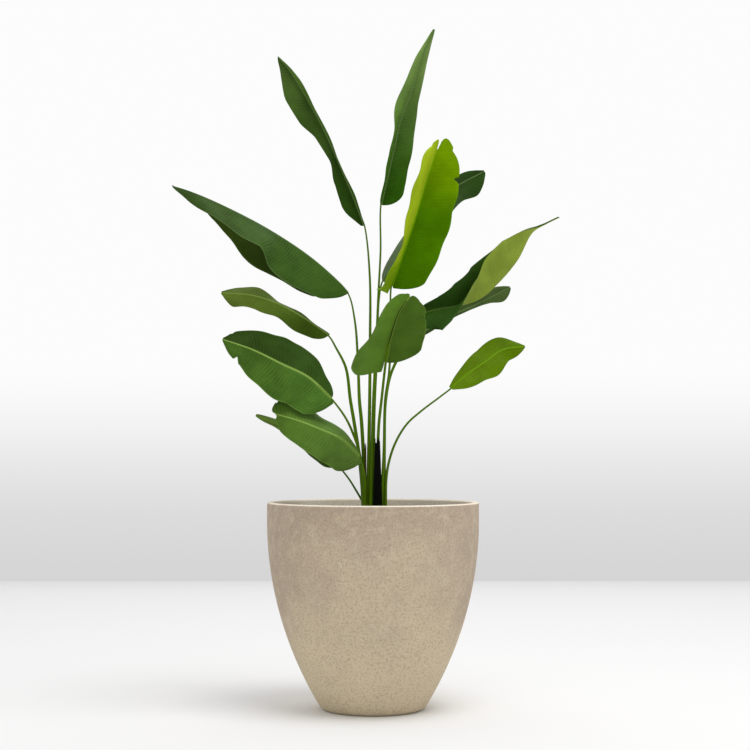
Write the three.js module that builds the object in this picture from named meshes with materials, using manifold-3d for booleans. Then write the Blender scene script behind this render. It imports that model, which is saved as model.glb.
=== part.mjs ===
// A potted plant with long paddle-shaped leaves, standing in a tall stone-finish planter.
// Millimetres, +Z up. The origin is the middle of the pot's underside, and -Y is the front.
// Each leaf is two solids: its green blade, and its paler stalk, which runs on under it as the midrib.

import * as THREE from "three";
import { mergeVertices } from "three/addons/utils/BufferGeometryUtils.js";
import Module from "manifold-3d";

const wasm = await Module();
wasm.setup();

// Pot
const POT_HEIGHT = 484;
const RIM_RADIUS = 250;
const FOOT_RADIUS = 126;
const FOOT_ROUND = 20;
const FOOT_SLOPE = THREE.MathUtils.degToRad(36);
const BELLY_LOW = [202, 132];
const BELLY_HIGH = [RIM_RADIUS, 284];
const SHOULDER_HEIGHT = 440;
const WALL = 15;
const LIP_ROUND = 5;
const FLOOR = 24;
const INNER_WALL_START = 38;
const INNER_CORNER = 17;
const POT_SIDES = 44;
const BELLY_STEPS = 11;
const ROUND_STEPS = 3;

// Soil, with the gap to the pot's wall and the one round each thing that stands in it
const SOIL_TOP = 430;
const WALL_GAP = 0.6;
const GAP = 0.3;
const ROOT_DEPTH = 34;

// Leaves
const BLADE = 0.8;
const STALK_SIDES = 6;
const MIDRIB_END_RADIUS = 0.7;
const MIDRIB_REACH = 0.93;
const MIDRIB_GAP = 0.45;
const BLADE_STATIONS = 13;
const BASE_ROUND = 0.08;
const BASE_WIDTH = 3;
const VEIN_SWEEP = 0.18;
const RIB_MARGIN = 0.6;
const LEAST_WIDTH = 1;
const RIPPLE_START = 0.2;
const RIPPLE_SHIFT = 2;
const NOTCH_START = 0.75;
const NOTCH_OPEN = 0.5;
const NOTCH_CURVE = 2.6;
const LOBE_END = 0.3;
const REACH_EASE = 1.5;
const TIP_STEP = 0.02;

const UP = new THREE.Vector3(0, 0, 1);
const FRONT = new THREE.Vector3(0, -1, 0);

const LOOKS = {
  pot: { color: 0xb5a58c, roughness: 0.85 },
  soil: { color: 0x3b2c20, roughness: 0.95 },
  dryLeaf: { color: 0x17160f, roughness: 0.9 },
  stalk: { color: 0x4f7a1a, roughness: 0.45 },
  dark: { color: 0x2c4a14, roughness: 0.5 },
  green: { color: 0x3f6322, roughness: 0.5 },
  bright: { color: 0x5d8c06, roughness: 0.5 },
};

// The leaves. For each one:
//   stalk   its centre line from just above the soil to just below the blade
//   thick   the stalk's radius at the soil, half way up and at the blade
//   rib     the midrib's line from the blade's base to its tip
//   turn    how far the upper side is turned from the front, in degrees, along the rib
//   left, right   each half's width along the rib, seen from the upper side with the tip up
//   fold    how far the left and the right half rise from flat along the rib (below 0 they droop)
//   curl    how much further each half has turned at its margin
//   sag     how far each half's margin hangs down, along the rib
//   wave    the height and the number of the margin's ripples
//   tears   where the margin is torn in: side, place on the rib, depth as a share of the half, half width
//   blunt   how much of the blade's length its rounded tip takes
//   round   how much of it the rounded base of each half takes, where that isn't the usual share
//   notch   how far the left and the right half reach past the midrib's end
//   lobe    how far the left and the right half hang back past the midrib's start
const LEAVES = [
  {
    name: "leaf_high_left",
    look: LOOKS.dark,
    stalk: [[-12, -4, 433], [-12, -4, 490], [-10, -4, 607], [-8, -3, 725], [-7, 3, 868], [-8, 10, 1024]],
    thick: [4.6, 4, 1.9],
    rib: [
      [-22, 20, 1144], [-47, 28, 1212], [-88, 42, 1310], [-124, 54, 1390],
      [-165, 70, 1468], [-207, 86, 1537], [-233, 99, 1570],
    ],
    turn: [-46, -44, -40, -36, -36],
    left: [10, 30, 29, 15, 24, 44, 44, 30, 3],
    right: [12, 16, 16, 12, 12, 16, 18, 12, 2],
    fold: [[46, 44, 40, 36, 34], [46, 48, 46, 42, 40]],
    curl: [[0, 0], [-10, -10]],
    sag: [[0, 0], [0, 0]],
    wave: [3, 3],
    tears: [],
    blunt: 0.03,
    bands: 2,
  },
  {
    name: "leaf_top",
    look: LOOKS.green,
    stalk: [
      [-5, -11, 433], [-5, -11, 490], [-2, -9, 607], [1, -7, 725],
      [7, -5, 844], [13, -4, 980], [18, -3, 1082],
    ],
    thick: [4.8, 3.3, 2],
    rib: [
      [20, 0, 1190], [34, -10, 1250], [51, -22, 1324], [66, -32, 1388],
      [94, -46, 1460], [115, -62, 1530], [144, -80, 1592],
    ],
    turn: [44, 44, 38, 0, -10, -12],
    left: [40, 42, 42, 40, 34, 27, 18, 10, 2],
    right: [42, 44, 40, 38, 36, 28, 24, 17, 2],
    fold: [[44, 44, 44, 44, 44], [44, 44, 44, 44, 44]],
    curl: [[-8, -8], [-8, -8]],
    sag: [[0, 0], [0, 0]],
    wave: [3, 3],
    tears: [],
    blunt: 0.03,
    bands: 2,
  },
  {
    name: "leaf_bright",
    look: LOOKS.bright,
    stalk: [[20, -7, 433], [21, -8, 490], [26, -9, 607], [29, -15, 725], [38, -25, 790], [42, -42, 888]],
    thick: [4.2, 3.2, 2.1],
    rib: [[44, -60, 990], [72, -75, 1068], [99, -90, 1147], [124, -105, 1230], [149, -120, 1302]],
    turn: [38, 38, 36],
    left: [75, 56, 43, 68, 84, 86, 88, 84, 66],
    right: [64, 72, 76, 80, 80, 77, 75, 68, 60],
    fold: [[20, 44, 42, 38, 40, 34], [38, 38, 36, 36, 36]],
    curl: [[0, 0], [0, 0]],
    sag: [[72, 0, 0, 0, 0, 0, 0, 0, 0], [0, 0]],
    wave: [3, 4],
    tears: [["right", 0.83, 0.18, 0.022]],
    blunt: 0.15,
    round: [0.03, 0.08],
    notch: [22, 30],
    bands: 3,
    lobe: [20, 4],
  },
  {
    name: "leaf_behind_bright",
    look: LOOKS.dark,
    stalk: [[2, 9, 433], [2, 10, 490], [1, 15, 607], [4, 21, 726], [10, 27, 846], [14, 33, 966]],
    thick: [4.4, 3.3, 2],
    rib: [[24, 40, 1012], [79, 60, 1089], [134, 80, 1168], [194, 90, 1242], [272, 100, 1288]],
    turn: [30, 20, 10],
    left: [26, 32, 32, 30, 28, 26, 24, 20, 3],
    right: [26, 34, 36, 36, 34, 34, 36, 44, 10],
    fold: [[30, 25, 20], [20, 15, 10]],
    curl: [[0, 0], [0, 0]],
    sag: [[0, 0], [0, 0]],
    wave: [3, 3],
    tears: [],
    blunt: 0.05,
    bands: 2,
  },
  {
    name: "leaf_right_large",
    look: LOOKS.dark,
    stalk: [
      [27, 2, 433], [27, 2, 490], [27, 2, 607], [30, 3, 725],
      [40, 1, 780], [60, -6, 829], [78, -14, 867],
    ],
    thick: [4.3, 3.3, 2.2],
    rib: [
      [99, -20, 916], [122, -17, 931], [158, -13, 941], [196, -9, 948], [254, 0, 968],
      [300, 10, 1008], [345, 22, 1062], [383, 36, 1130], [418, 46, 1152], [449, 54, 1168],
    ],
    turn: [-10, -10, -10, -14, -20, -20],
    left: [8, 24, 56, 72, 68, 58, 32, 3, 1],
    right: [90, 84, 64, 70, 84, 74, 46, 5, 1],
    fold: [[30, 30, 30, 30, 30], [30, 60, 118, 126, 124, 100, 60]],
    curl: [[0, 0], [0, 0]],
    sag: [[0, 0], [0, 0]],
    wave: [3, 3],
    tears: [],
    blunt: 0.02,
    bands: 3,
    lobe: [0, 8],
  },
  {
    name: "leaf_right_behind",
    look: LOOKS.dark,
    stalk: [[20, 13, 433], [21, 14, 490], [26, 18, 607], [31, 24, 726], [46, 28, 795], [78, 34, 850]],
    thick: [4, 3, 2],
    rib: [[114, 42, 885], [150, 52, 908], [200, 66, 936], [262, 86, 965], [334, 104, 1004]],
    turn: [0, 0],
    left: [20, 26, 28, 28, 26, 24, 22, 16, 2],
    right: [6, 6, 5, 4, 4, 5, 10, 22, 6],
    fold: [[30, 30], [10, 10]],
    curl: [[0, 0], [0, 0]],
    sag: [[0, 0], [0, 0]],
    wave: [4, 3],
    tears: [],
    blunt: 0.05,
    bands: 2,
  },
  {
    name: "leaf_left_folded",
    look: LOOKS.green,
    stalk: [
      [-16, 11, 433], [-17, 10, 490], [-22, 8, 588], [-27, 5, 673],
      [-32, 3, 725], [-35, 0, 800], [-43, -3, 913],
    ],
    thick: [5, 4.4, 1.9],
    rib: [
      [-58, -6, 980], [-78, -14, 1002], [-148, -34, 1062], [-248, -60, 1126],
      [-356, -80, 1180], [-425, -92, 1208], [-466, -100, 1220],
    ],
    turn: [72, 76, 80],
    left: [50, 77, 91, 95, 92, 76, 50, 28, 2],
    right: [70, 93, 103, 108, 98, 74, 44, 14, 2],
    fold: [[-50, -45, -42, -38, -14, -20, -31, -50, -50], [-68, -70, -72, -72, -50]],
    curl: [[-10, -10], [0, 0]],
    sag: [[0, 0], [0, 0]],
    wave: [2, 3],
    tears: [],
    blunt: 0.02,
    bands: 3,
  },
  {
    name: "leaf_drooping",
    look: LOOKS.green,
    stalk: [[9, -2, 433], [9, -3, 490], [11, -8, 600], [14, -17, 670], [20, -28, 724], [25, -38, 771]],
    thick: [4.2, 3.5, 3],
    rib: [[30, -48, 813], [36, -90, 850], [47, -140, 889], [61, -185, 923], [83, -224, 951]],
    turn: [180, 180],
    left: [60, 74, 74, 74, 72, 68, 61, 54, 42],
    right: [70, 87, 80, 52, 42, 40, 36, 30, 20],
    fold: [[0, 10, 10, 10], [-20, -20]],
    curl: [[0, 0], [-20, -20]],
    sag: [[0, 0], [36, 14, 18, 6, 0, 0, 0, 0, 0]],
    wave: [3, 3],
    tears: [],
    blunt: 0.05,
    round: [0.2, 0.14],
    bands: 3,
    lobe: [2, 34],
    notch: [8, 5],
  },
  {
    name: "leaf_left_narrow",
    look: LOOKS.green,
    stalk: [
      [-24, 3, 433], [-24, 3, 490], [-33, 6, 595], [-45, 14, 673],
      [-54, 21, 726], [-65, 30, 803], [-88, 37, 850],
    ],
    thick: [4.4, 4.1, 2],
    rib: [[-106, 42, 882], [-164, 60, 923], [-227, 80, 960], [-298, 100, 984], [-372, 119, 991]],
    turn: [55, 55, 45],
    left: [24, 34, 36, 34, 32, 32, 32, 30, 3],
    right: [8, 9, 10, 11, 15, 25, 37, 28, 3],
    fold: [[-40, -40], [-15, -15, -15, 0, -15]],
    curl: [[0, 0], [0, 0]],
    sag: [[0, 0], [0, 0]],
    wave: [3, 3],
    tears: [],
    blunt: 0.04,
    bands: 2,
  },
  {
    name: "leaf_left_broad",
    look: LOOKS.green,
    stalk: [[-24, -6, 433], [-24, -6, 490], [-31, -10, 595], [-48, -20, 648], [-66, -32, 685]],
    thick: [4, 3.2, 2.2],
    rib: [[-97, -50, 728], [-149, -70, 776], [-214, -90, 808], [-279, -110, 839], [-345, -130, 861]],
    turn: [25, 25],
    left: [64, 75, 78, 80, 75, 65, 52, 34, 5],
    right: [20, 34, 58, 74, 74, 67, 55, 40, 6],
    fold: [[-15, -15], [-15, -15]],
    curl: [[0, 0], [0, 0]],
    sag: [[0, 0], [0, 0]],
    wave: [3, 4],
    tears: [["left", 0.85, 0.3, 0.025], ["right", 0.93, 0.12, 0.02]],
    blunt: 0.08,
    bands: 3,
    lobe: [12, 0],
  },
  {
    name: "leaf_low_left",
    look: LOOKS.green,
    stalk: [[-20, -17, 433], [-20, -18, 490], [-20, -30, 540]],
    thick: [4.8, 4, 2.6],
    rib: [[-31, -46, 591], [-72, -56, 632], [-125, -70, 657], [-178, -80, 677], [-226, -88, 690]],
    turn: [42, 42],
    left: [58, 65, 68, 67, 62, 56, 50, 38, 22],
    right: [10, 30, 50, 60, 64, 62, 58, 56, 60],
    fold: [[-32, -32], [-30, -30, -24, -10, 6]],
    curl: [[0, 0], [0, 0]],
    sag: [[0, 0], [0, 0]],
    wave: [1.5, 3],
    tears: [],
    blunt: 0.1,
    bands: 3,
    lobe: [14, 0],
    notch: [-4, 10],
  },
  {
    name: "leaf_hidden_left",
    look: LOOKS.dark,
    stalk: [[0, 20, 433], [-8, 20, 455], [-21, 19, 478], [-38, 18, 507], [-58, 16, 539]],
    thick: [3.4, 2.6, 2],
    rib: [[-83, 16, 571], [-126, 30, 610], [-176, 50, 640], [-229, 70, 667], [-284, 90, 691]],
    turn: [30, 30],
    left: [20, 26, 26, 22, 18, 12, 8, 5, 1],
    right: [26, 34, 34, 32, 28, 24, 18, 11, 1],
    fold: [[-20, -20], [-20, -20]],
    curl: [[0, 0], [0, 0]],
    sag: [[0, 0], [0, 0]],
    wave: [2, 3],
    tears: [],
    blunt: 0.02,
    bands: 2,
  },
  {
    name: "leaf_right_low",
    look: LOOKS.bright,
    stalk: [
      [30, -8, 433], [30, -8, 490], [31, -8, 534], [37, -8, 576],
      [53, -9, 624], [80, -10, 668], [113, -11, 698], [158, -12, 732],
    ],
    thick: [3.6, 2.8, 2],
    rib: [[184, -10, 753], [224, 10, 787], [269, 30, 818], [313, 50, 848], [367, 70, 857]],
    turn: [-25, -25],
    left: [4, 14, 24, 32, 38, 42, 38, 24, 3],
    right: [8, 24, 34, 38, 42, 36, 28, 22, 3],
    fold: [[-12, -12], [-12, -12]],
    curl: [[0, 0], [0, 0]],
    sag: [[0, 0], [0, 0]],
    wave: [3, 3],
    tears: [],
    blunt: 0.05,
    bands: 2,
  },
];

// The dry remains of old leaf sheaths at the foot of the stalks. Each is an arc round a centre between two
// angles, from the soil to a ragged top, where it has leant a little and narrowed to a share of its width.
const OLD_SHEATHS = [
  {
    name: "old_sheath_large",
    centre: [10, -4], radius: 15.5, arc: [228, 326], top: 630, lean: -1, narrow: 0.45,
  },
  {
    name: "old_sheath_small",
    centre: [-17.7, -3.4], radius: 7.5, arc: [250, 290], top: 616, lean: 0, narrow: 0.6,
  },
];
const SHEATH = 1.6;
const SHEATH_DEPTH = 17;
const SLOT_ABOVE = 5;
const SHEATH_ROWS = 7;
const SHEATH_COLUMNS = 7;
const RAGGED_HEIGHT = 9;
const RAGGED_TURN = 2.1;

const vector = (point) => new THREE.Vector3(...point);

// A smooth line through points.
const lineThrough = (points) => new THREE.CatmullRomCurve3(points.map(vector), false, "centripetal");

// The value at a share s of the way along a list of evenly spaced values, with no overshoot between them.
function along(values, s) {
  const last = values.length - 1;
  const place = Math.min(Math.max(s, 0), 1) * last;
  const i = Math.min(Math.floor(place), last - 1);
  const x = place - i;
  const step = (k) => (k < 0 || k >= last ? 0 : values[k + 1] - values[k]);
  const slope = (k) => {
    if (k === 0) return step(0);
    if (k === last) return step(last - 1);
    const [before, after] = [step(k - 1), step(k)];
    return before * after <= 0 ? 0 : (2 * before * after) / (before + after);
  };
  const rise = step(i);
  const [start, end] = [slope(i), slope(i + 1)];
  return values[i] + x * (start + x * (3 * rise - 2 * start - end + x * (start + end - 2 * rise)));
}

// A quarter circle's rise from 0 to 1.
const roundOff = (share) => Math.sqrt(1 - (1 - Math.min(share, 1)) ** 2);

function geometryOf(vertices, faces) {
  const geometry = new THREE.BufferGeometry();
  const numbers = vertices.flatMap((vertex) => vertex.toArray());
  geometry.setAttribute("position", new THREE.Float32BufferAttribute(numbers, 3));
  geometry.setIndex(faces.flat());
  geometry.computeVertexNormals();
  return geometry;
}

// A closed sheet of even thickness: rows of points for its middle surface, split alike on both faces.
function slab(rows, thickness) {
  const [tall, wide] = [rows.length, rows[0].length];
  const at = (i, j) => rows[Math.min(Math.max(i, 0), tall - 1)][Math.min(Math.max(j, 0), wide - 1)];
  const step = (from, to) => to.clone().sub(from).normalize();
  const normal = (row, j) => {
    const i = Math.min(Math.max(row, 1), tall - 2);
    const across = step(at(i, j), at(i, j + 1)).add(step(at(i, j - 1), at(i, j)));
    const forward = step(at(i, j), at(i + 1, j)).add(step(at(i - 1, j), at(i, j)));
    return across.cross(forward).normalize();
  };
  const offset = (side) => rows.flatMap((row, i) =>
    row.map((point, j) => point.clone().addScaledVector(normal(i, j), side * thickness / 2)));
  const vertices = [...offset(1), ...offset(-1)];
  const upper = (i, j) => i * wide + j;
  const under = (i, j) => tall * wide + upper(i, j);
  const faces = [];
  for (let i = 0; i < tall - 1; i++)
    for (let j = 0; j < wide - 1; j++) {
      faces.push([upper(i, j), upper(i, j + 1), upper(i + 1, j + 1)]);
      faces.push([upper(i, j), upper(i + 1, j + 1), upper(i + 1, j)]);
      faces.push([under(i, j), under(i + 1, j + 1), under(i, j + 1)]);
      faces.push([under(i, j), under(i + 1, j), under(i + 1, j + 1)]);
    }
  const rim = [
    ...Array.from({ length: wide - 1 }, (_, j) => [0, j]),
    ...Array.from({ length: tall - 1 }, (_, i) => [i, wide - 1]),
    ...Array.from({ length: wide - 1 }, (_, j) => [tall - 1, wide - 1 - j]),
    ...Array.from({ length: tall - 1 }, (_, i) => [tall - 1 - i, 0]),
  ];
  rim.forEach((a, k) => {
    const b = rim[(k + 1) % rim.length];
    faces.push([under(...a), under(...b), upper(...b)], [under(...a), upper(...b), upper(...a)]);
  });
  return geometryOf(vertices, faces);
}

// A closed rod through rings, each with a centre, a radius and two directions across it.
function rod(rings) {
  const vertices = rings.flatMap(({ centre, radius, top, side }) =>
    Array.from({ length: STALK_SIDES }, (_, k) => {
      const angle = ((k + 0.5) * 2 * Math.PI) / STALK_SIDES;
      return centre.clone()
        .addScaledVector(top, radius * Math.cos(angle))
        .addScaledVector(side, radius * Math.sin(angle));
    }));
  const faces = [];
  for (let i = 0; i < rings.length - 1; i++)
    for (let k = 0; k < STALK_SIDES; k++) {
      const [a, b] = [i * STALK_SIDES + k, i * STALK_SIDES + ((k + 1) % STALK_SIDES)];
      faces.push([a, b, b + STALK_SIDES], [a, b + STALK_SIDES, a + STALK_SIDES]);
    }
  const end = (rings.length - 1) * STALK_SIDES;
  for (let k = 1; k < STALK_SIDES - 1; k++) faces.push([0, k + 1, k], [end, end + k, end + k + 1]);
  return geometryOf(vertices, faces);
}

// The midrib's frame at a share s of the blade's length.
function ribFrame(leaf, s) {
  const curve = lineThrough(leaf.rib);
  const centre = curve.getPointAt(s);
  const forward = curve.getTangentAt(s);
  const facing = FRONT.clone().addScaledVector(forward, -FRONT.dot(forward)).normalize();
  const across = forward.clone().cross(facing);
  const turn = THREE.MathUtils.degToRad(along(leaf.turn, s));
  const normal = facing.clone().multiplyScalar(Math.cos(turn)).addScaledVector(across, Math.sin(turn));
  return { centre, forward, normal, right: forward.clone().cross(normal) };
}

const midribRadius = (leaf, s) =>
  THREE.MathUtils.lerp(leaf.thick[2], MIDRIB_END_RADIUS, Math.min(s / MIDRIB_REACH, 1));

// One half's width at s, with its rounded base and tip and its tears.
function halfWidth(leaf, side, s) {
  const torn = leaf.tears
    .filter(([where]) => where === side)
    .map(([, at, depth, reach]) => 1 - depth * Math.max(0, 1 - Math.abs(s - at) / reach))
    .reduce((product, share) => product * share, 1);
  const start = roundOff(s / (leaf.round?.[side === "right" ? 1 : 0] ?? BASE_ROUND));
  const end = Math.max(roundOff((1 - s) / leaf.blunt), leaf.notch ? NOTCH_OPEN : 0);
  return LEAST_WIDTH + BASE_WIDTH * (1 - start) + along(leaf[side], s) * torn * start * end;
}

// A point on the blade's middle surface: a share t of the way from the midrib to the margin of one half.
function bladePoint(leaf, side, s, t) {
  const { centre, forward, normal, right } = ribFrame(leaf, s);
  const [sign, half] = side === "right" ? [1, 1] : [-1, 0];
  const width = halfWidth(leaf, side, s) * t;
  const angle = THREE.MathUtils.degToRad(along(leaf.fold[half], s) + (along(leaf.curl[half], s) * t) / 2);
  const phase = 2 * Math.PI * leaf.wave[1] * s + half * RIPPLE_SHIFT;
  const ripple = leaf.wave[0] * t * t * Math.sin(phase) * roundOff(s / RIPPLE_START);
  const notch = (leaf.notch?.[half] ?? 0) * Math.sin(NOTCH_CURVE * Math.sqrt(t));
  const lobe = (leaf.lobe?.[half] ?? 0) * Math.sqrt(t);
  const reach = notch * Math.max(0, (s - NOTCH_START) / (1 - NOTCH_START)) ** REACH_EASE
    - lobe * Math.max(0, 1 - s / LOBE_END) ** REACH_EASE;
  return centre
    .addScaledVector(right, sign * (midribRadius(leaf, s) + RIB_MARGIN + width * Math.cos(angle)))
    .addScaledVector(normal, width * Math.sin(angle) + ripple)
    .addScaledVector(forward, VEIN_SWEEP * width * t * (1 - s) + reach)
    .addScaledVector(UP, -along(leaf.sag[half], s) * t * t * Math.min(s / BASE_ROUND, 1));
}

// The places along the midrib where the blade has a row of points: even ones, one near each end, the tears.
function stations(leaf) {
  const even = Array.from({ length: BLADE_STATIONS + 1 }, (_, i) => i / BLADE_STATIONS);
  const torn = [...new Set(leaf.tears.flatMap(([, at, , reach]) => [at - reach, at, at + reach]))];
  const kept = even.filter((s) => torn.every((place) => Math.abs(place - s) > TIP_STEP));
  return [...kept, TIP_STEP, 1 - leaf.blunt / 4, ...torn].filter((s) => s <= 1).sort((a, b) => a - b);
}

function bladeGeometry(leaf) {
  const shares = Array.from({ length: leaf.bands + 1 }, (_, k) => k / leaf.bands);
  const rows = stations(leaf).map((s) => [
    ...[...shares].reverse().map((t) => bladePoint(leaf, "left", s, t)),
    ...shares.map((t) => bladePoint(leaf, "right", s, t)),
  ]);
  return slab(rows, BLADE);
}

// The midrib's rings lie a little under the blade, with a flat side to it.
function midribRing(leaf, s) {
  const { centre, normal, right } = ribFrame(leaf, s);
  const radius = midribRadius(leaf, s);
  const drop = BLADE / 2 + MIDRIB_GAP + radius * Math.cos(Math.PI / STALK_SIDES);
  return { centre: centre.addScaledVector(normal, -drop), radius, top: normal, side: right };
}

// The stalk's rings, from the blade down to the soil, without twist between them.
function stalkRings(leaf) {
  const first = midribRing(leaf, 0);
  const second = midribRing(leaf, 0.1);
  const curve = lineThrough([...leaf.stalk, first.centre.toArray(), second.centre.toArray()]);
  const share = leaf.stalk.length / (leaf.stalk.length + 1);
  const count = leaf.stalk.length * 2;
  const rings = [first];
  for (let k = count - 1; k >= 0; k--) {
    const forward = curve.getTangent((share * k) / count);
    const above = rings[0].top;
    const top = above.clone().addScaledVector(forward, -above.dot(forward)).normalize();
    const centre = curve.getPoint((share * k) / count);
    rings.unshift({ centre, radius: along(leaf.thick, k / count), top, side: forward.clone().cross(top) });
  }
  return rings;
}

// The straight foot of a stalk, sunk in the soil; grown a little, it is the hole that the stalk stands in.
function rootRings(leaf, grow) {
  const foot = stalkRings(leaf)[0];
  const down = foot.top.clone().cross(foot.side).negate();
  const radius = foot.radius + grow / Math.cos(Math.PI / STALK_SIDES);
  const deep = foot.centre.clone().addScaledVector(down, ROOT_DEPTH + grow);
  return [{ ...foot, centre: deep, radius }, { ...foot, radius }];
}

function stalkGeometry(leaf) {
  const under = stations(leaf).filter((s) => s > 0 && s <= MIDRIB_REACH).map((s) => midribRing(leaf, s));
  return rod([rootRings(leaf, 0)[0], ...stalkRings(leaf), ...under]);
}

// An old sheath's rows, from its foot in the soil to its top. Grown a little,
// its buried part is its slot in the soil.
function sheathRows(sheath, grow) {
  const bottom = SOIL_TOP - SHEATH_DEPTH;
  const top = grow ? SOIL_TOP + SLOT_ABOVE : sheath.top;
  return Array.from({ length: grow ? 2 : SHEATH_ROWS }, (_, i) => {
    const z = grow ? [bottom - grow, top][i] : THREE.MathUtils.lerp(bottom, top, i / (SHEATH_ROWS - 1));
    const height = (z - SOIL_TOP) / (sheath.top - SOIL_TOP);
    const [from, to] = sheath.arc;
    const middle = (from + to) / 2;
    const spread = ((to - from) / 2) * (1 - (1 - sheath.narrow) * Math.max(height, 0))
      + THREE.MathUtils.radToDeg(grow / sheath.radius);
    return Array.from({ length: SHEATH_COLUMNS }, (_, j) => {
      const angle = THREE.MathUtils.degToRad(middle - spread + (2 * spread * j) / (SHEATH_COLUMNS - 1));
      const ragged = i === SHEATH_ROWS - 1 ? RAGGED_HEIGHT * Math.sin(j * RAGGED_TURN) : 0;
      return new THREE.Vector3(
        sheath.centre[0] + sheath.radius * Math.cos(angle) + sheath.lean * Math.max(height, 0),
        sheath.centre[1] + sheath.radius * Math.sin(angle),
        z + ragged,
      );
    });
  });
}

// The pot's outside, from the foot's rounded edge up to the shoulder.
function potOutside() {
  const belly = new THREE.CubicBezierCurve(
    new THREE.Vector2(FOOT_RADIUS, FOOT_ROUND * (1 - Math.sin(FOOT_SLOPE))),
    new THREE.Vector2(...BELLY_LOW),
    new THREE.Vector2(...BELLY_HIGH),
    new THREE.Vector2(RIM_RADIUS, SHOULDER_HEIGHT),
  );
  return belly.getPoints(BELLY_STEPS);
}

// The pot's inside, from the rim down to the floor, drawn in by the wall's thickness.
function potInside(inset) {
  const inside = potOutside()
    .filter((p) => p.y > INNER_WALL_START)
    .map((p) => new THREE.Vector2(p.x - WALL - inset, p.y));
  return [new THREE.Vector2(inside[0].x - INNER_CORNER, FLOOR + inset), ...inside];
}

const arc = (x, y, radius, from, to) =>
  new THREE.EllipseCurve(x, y, radius, radius, from, to).getPoints(ROUND_STEPS);

function turned(points) {
  const geometry = new THREE.LatheGeometry(points, POT_SIDES).rotateX(Math.PI / 2);
  geometry.deleteAttribute("normal");
  geometry.deleteAttribute("uv");
  const closed = mergeVertices(geometry, 1e-3);
  closed.computeVertexNormals();
  return closed;
}

function potGeometry() {
  const foot = FOOT_RADIUS - FOOT_ROUND * Math.cos(FOOT_SLOPE);
  const lip = POT_HEIGHT - LIP_ROUND;
  return turned([
    new THREE.Vector2(0, 0),
    ...arc(foot, FOOT_ROUND, FOOT_ROUND, -Math.PI / 2, -FOOT_SLOPE).slice(0, -1),
    ...potOutside(),
    ...arc(RIM_RADIUS - LIP_ROUND, lip, LIP_ROUND, 0, Math.PI / 2),
    ...arc(RIM_RADIUS - WALL + LIP_ROUND, lip, LIP_ROUND, Math.PI / 2, Math.PI),
    ...potInside(0).reverse(),
    new THREE.Vector2(0, FLOOR),
  ]);
}

function solid(geometry) {
  return new wasm.Manifold(new wasm.Mesh({
    numProp: 3,
    vertProperties: geometry.attributes.position.array,
    triVerts: new Uint32Array(geometry.index.array),
  }));
}

// The soil fills the pot, with a plain hole for each stalk and a slot for each old sheath.
function soilGeometry() {
  const side = potInside(WALL_GAP).filter((p) => p.y < SOIL_TOP);
  const edge = new THREE.Vector2(RIM_RADIUS - WALL - WALL_GAP, SOIL_TOP);
  const [bottom, top] = [new THREE.Vector2(0, FLOOR + WALL_GAP), new THREE.Vector2(0, SOIL_TOP)];
  const filled = turned([bottom, ...side, edge, top]);
  const holes = [
    ...LEAVES.map((leaf) => rod(rootRings(leaf, GAP))),
    ...OLD_SHEATHS.map((sheath) => slab(sheathRows(sheath, GAP), SHEATH + 2 * GAP)),
  ];
  const cut = holes.reduce((soil, hole) => soil.subtract(solid(hole)), solid(filled));
  const mesh = cut.getMesh();
  const geometry = new THREE.BufferGeometry();
  geometry.setAttribute("position", new THREE.BufferAttribute(new Float32Array(mesh.vertProperties), 3));
  geometry.setIndex(new THREE.BufferAttribute(new Uint32Array(mesh.triVerts), 1));
  geometry.computeVertexNormals();
  return geometry;
}

function piece(name, geometry, look) {
  const mesh = new THREE.Mesh(geometry, new THREE.MeshStandardMaterial({ ...look, metalness: 0 }));
  mesh.name = name;
  return mesh;
}

function makeLeaf(leaf) {
  const group = new THREE.Group();
  group.add(piece(`${leaf.name}_blade`, bladeGeometry(leaf), leaf.look));
  group.add(piece(`${leaf.name}_stalk`, stalkGeometry(leaf), LOOKS.stalk));
  return group;
}

const plant = new THREE.Group();
plant.add(piece("pot", potGeometry(), LOOKS.pot));
plant.add(piece("soil", soilGeometry(), LOOKS.soil));
for (const leaf of LEAVES) plant.add(makeLeaf(leaf));
for (const sheath of OLD_SHEATHS)
  plant.add(piece(sheath.name, slab(sheathRows(sheath, 0), SHEATH), LOOKS.dryLeaf));

export default plant;
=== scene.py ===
import math

import bpy
import numpy as np
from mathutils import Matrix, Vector, noise


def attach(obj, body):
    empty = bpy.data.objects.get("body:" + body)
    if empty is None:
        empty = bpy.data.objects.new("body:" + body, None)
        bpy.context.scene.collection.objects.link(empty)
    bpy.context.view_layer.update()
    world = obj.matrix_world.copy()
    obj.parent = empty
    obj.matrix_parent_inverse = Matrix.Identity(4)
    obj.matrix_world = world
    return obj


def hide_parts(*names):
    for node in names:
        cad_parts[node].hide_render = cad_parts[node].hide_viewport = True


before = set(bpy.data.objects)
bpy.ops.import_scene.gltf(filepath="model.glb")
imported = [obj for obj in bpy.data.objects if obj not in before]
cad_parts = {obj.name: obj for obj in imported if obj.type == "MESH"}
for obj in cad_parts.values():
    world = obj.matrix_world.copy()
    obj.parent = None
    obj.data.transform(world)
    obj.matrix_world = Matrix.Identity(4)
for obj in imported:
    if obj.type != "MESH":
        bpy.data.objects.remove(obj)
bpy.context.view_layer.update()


# The pot: one tall egg-shaped planter cast in fibre-clay, with a flat foot and a softly rounded lip.
# It is turned from its section, with a wall 15 mm thick, and its dry skin is finely speckled and mottled.

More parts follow.
